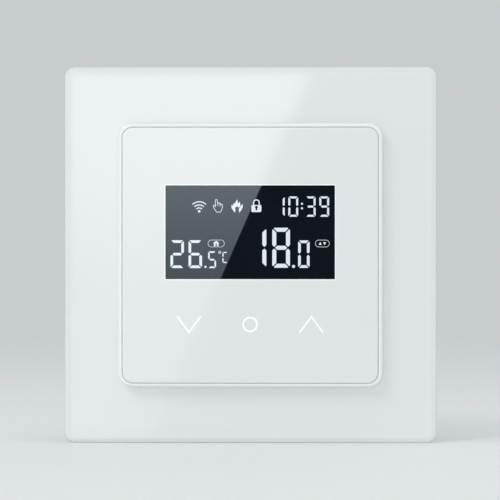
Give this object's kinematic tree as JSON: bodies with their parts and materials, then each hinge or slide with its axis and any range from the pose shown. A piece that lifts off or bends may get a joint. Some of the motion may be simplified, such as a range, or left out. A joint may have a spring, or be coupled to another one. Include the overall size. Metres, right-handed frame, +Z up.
{
  "type": "wall thermostat",
  "caption": "Square wall thermostat: a glass frame round a raised touch display module that plugs into a flush mains housing with screw terminals.",
  "frame": {"origin": "centre of the mounting plate's rear face, in the plane of the wall", "axes": "+X right and +Z up as seen by the user, +Y into the wall; the front faces -Y"},
  "size_m": [0.086, 0.0405, 0.087],
  "materials": {
    "printed_glass": "polished, white print on the back",
    "display_glass": "polished, black mask",
    "white_plastic": "fine satin",
    "grey_plastic": "fine texture",
    "black_plastic": "satin",
    "green_plastic": "satin",
    "clear_plastic": "frosted",
    "adhesive": "matte film",
    "rubber": "matte",
    "circuit_board": "solder mask",
    "plated_steel": "zinc plated",
    "tinned_metal": "tinned",
    "brass": "satin",
    "copper_winding": "enamelled wire",
    "ferrite": "matte",
    "winding_tape": "polyester tape",
    "capacitor_sleeve": "shrink sleeve",
    "film_case": "moulded",
    "varistor_coating": "dipped coating",
    "fuse_case": "moulded",
    "label": "printed film, blank"
  },
  "bodies": {
    "base": {"mounting_plate": "plated_steel", "plate_screw_1": "plated_steel", "plate_screw_2": "plated_steel", "plate_screw_3": "plated_steel", "plate_screw_4": "plated_steel", "rear_housing": "grey_plastic", "base_cover": "grey_plastic", "power_board": "circuit_board", "socket_header": "black_plastic", "rating_label": "label", "relay_cover": "black_plastic", "relay_base": "black_plastic", "relay_coil": "copper_winding", "relay_yoke": "plated_steel", "transformer_core": "ferrite", "transformer_coil": "winding_tape", "reservoir_capacitor": "capacitor_sleeve", "output_capacitor": "capacitor_sleeve", "film_capacitor": "film_case", "varistor": "varistor_coating", "fuse": "fuse_case", "terminal_block": "green_plastic"},
    "outer_frame": {"frame_glass": "printed_glass", "frame_adhesive": "adhesive", "frame_carrier": "white_plastic"},
    "control_module": {"front_glass": "printed_glass", "glass_adhesive": "adhesive", "module_bezel": "white_plastic", "lcd_cell": "display_glass", "lcd_light_guide": "clear_plastic", "lcd_connector": "rubber", "lcd_holder": "white_plastic", "control_board": "circuit_board", "touch_spring_left": "plated_steel", "touch_spring_centre": "plated_steel", "touch_spring_right": "plated_steel", "key_lamp_left": "clear_plastic", "key_lamp_centre": "clear_plastic", "key_lamp_right": "clear_plastic", "microcontroller": "black_plastic", "wireless_module": "tinned_metal", "buzzer": "black_plastic", "backup_battery": "plated_steel", "room_sensor": "black_plastic", "pin_header": "black_plastic", "module_rear_cover": "white_plastic"},
    "relay_armature": {"relay_armature": "plated_steel"},
    "terminal_screw_1": {"terminal_screw_1": "plated_steel"},
    "terminal_clamp_1": {"terminal_clamp_1": "brass"},
    "terminal_screw_2": {"terminal_screw_2": "plated_steel"},
    "terminal_clamp_2": {"terminal_clamp_2": "brass"},
    "terminal_screw_3": {"terminal_screw_3": "plated_steel"},
    "terminal_clamp_3": {"terminal_clamp_3": "brass"},
    "terminal_screw_4": {"terminal_screw_4": "plated_steel"},
    "terminal_clamp_4": {"terminal_clamp_4": "brass"},
    "terminal_screw_5": {"terminal_screw_5": "plated_steel"},
    "terminal_clamp_5": {"terminal_clamp_5": "brass"},
    "terminal_screw_6": {"terminal_screw_6": "plated_steel"},
    "terminal_clamp_6": {"terminal_clamp_6": "brass"}
  },
  "joints": [
    {"name": "frame_pull", "type": "slide", "parent": "base", "child": "outer_frame", "axis": [0, -1, 0], "range_m": [0, 0.035]},
    {"name": "module_pull", "type": "slide", "parent": "outer_frame", "child": "control_module", "axis": [0, -1, 0], "range_m": [0, 0.045]},
    {"name": "relay_armature_tilt", "type": "hinge", "parent": "base", "child": "relay_armature", "pos_m": [0.0036, 0.0224, 0.01275], "axis": [0, 0, -1], "range_deg": [0, 3], "stiffness_Nm_per_rad": 0.005, "springref_deg": -2.86},
    {"name": "terminal_1_screw_turn", "type": "hinge", "parent": "base", "child": "terminal_screw_1", "pos_m": [-0.01875, 0.0225, -0.0211], "axis": [0, -1, 0], "range_deg": [0, 1440]},
    {"name": "terminal_1_clamp_rise", "type": "slide", "parent": "base", "child": "terminal_clamp_1", "axis": [0, 1, 0], "range_m": [0, 0.002]},
    {"name": "terminal_2_screw_turn", "type": "hinge", "parent": "base", "child": "terminal_screw_2", "pos_m": [-0.01125, 0.0225, -0.0211], "axis": [0, -1, 0], "range_deg": [0, 1440]},
    {"name": "terminal_2_clamp_rise", "type": "slide", "parent": "base", "child": "terminal_clamp_2", "axis": [0, 1, 0], "range_m": [0, 0.002]},
    {"name": "terminal_3_screw_turn", "type": "hinge", "parent": "base", "child": "terminal_screw_3", "pos_m": [-0.00375, 0.0225, -0.0211], "axis": [0, -1, 0], "range_deg": [0, 1440]},
    {"name": "terminal_3_clamp_rise", "type": "slide", "parent": "base", "child": "terminal_clamp_3", "axis": [0, 1, 0], "range_m": [0, 0.002]},
    {"name": "terminal_4_screw_turn", "type": "hinge", "parent": "base", "child": "terminal_screw_4", "pos_m": [0.00375, 0.0225, -0.0211], "axis": [0, -1, 0], "range_deg": [0, 1440]},
    {"name": "terminal_4_clamp_rise", "type": "slide", "parent": "base", "child": "terminal_clamp_4", "axis": [0, 1, 0], "range_m": [0, 0.002]},
    {"name": "terminal_5_screw_turn", "type": "hinge", "parent": "base", "child": "terminal_screw_5", "pos_m": [0.01125, 0.0225, -0.0211], "axis": [0, -1, 0], "range_deg": [0, 1440]},
    {"name": "terminal_5_clamp_rise", "type": "slide", "parent": "base", "child": "terminal_clamp_5", "axis": [0, 1, 0], "range_m": [0, 0.002]},
    {"name": "terminal_6_screw_turn", "type": "hinge", "parent": "base", "child": "terminal_screw_6", "pos_m": [0.01875, 0.0225, -0.0211], "axis": [0, -1, 0], "range_deg": [0, 1440]},
    {"name": "terminal_6_clamp_rise", "type": "slide", "parent": "base", "child": "terminal_clamp_6", "axis": [0, 1, 0], "range_m": [0, 0.002]}
  ],
  "couplings": [
    {"joint": "terminal_1_screw_turn", "follows": "terminal_1_clamp_rise", "rad_per_m": 12566},
    {"joint": "terminal_2_screw_turn", "follows": "terminal_2_clamp_rise", "rad_per_m": 12566},
    {"joint": "terminal_3_screw_turn", "follows": "terminal_3_clamp_rise", "rad_per_m": 12566},
    {"joint": "terminal_4_screw_turn", "follows": "terminal_4_clamp_rise", "rad_per_m": 12566},
    {"joint": "terminal_5_screw_turn", "follows": "terminal_5_clamp_rise", "rad_per_m": 12566},
    {"joint": "terminal_6_screw_turn", "follows": "terminal_6_clamp_rise", "rad_per_m": 12566}
  ]
}
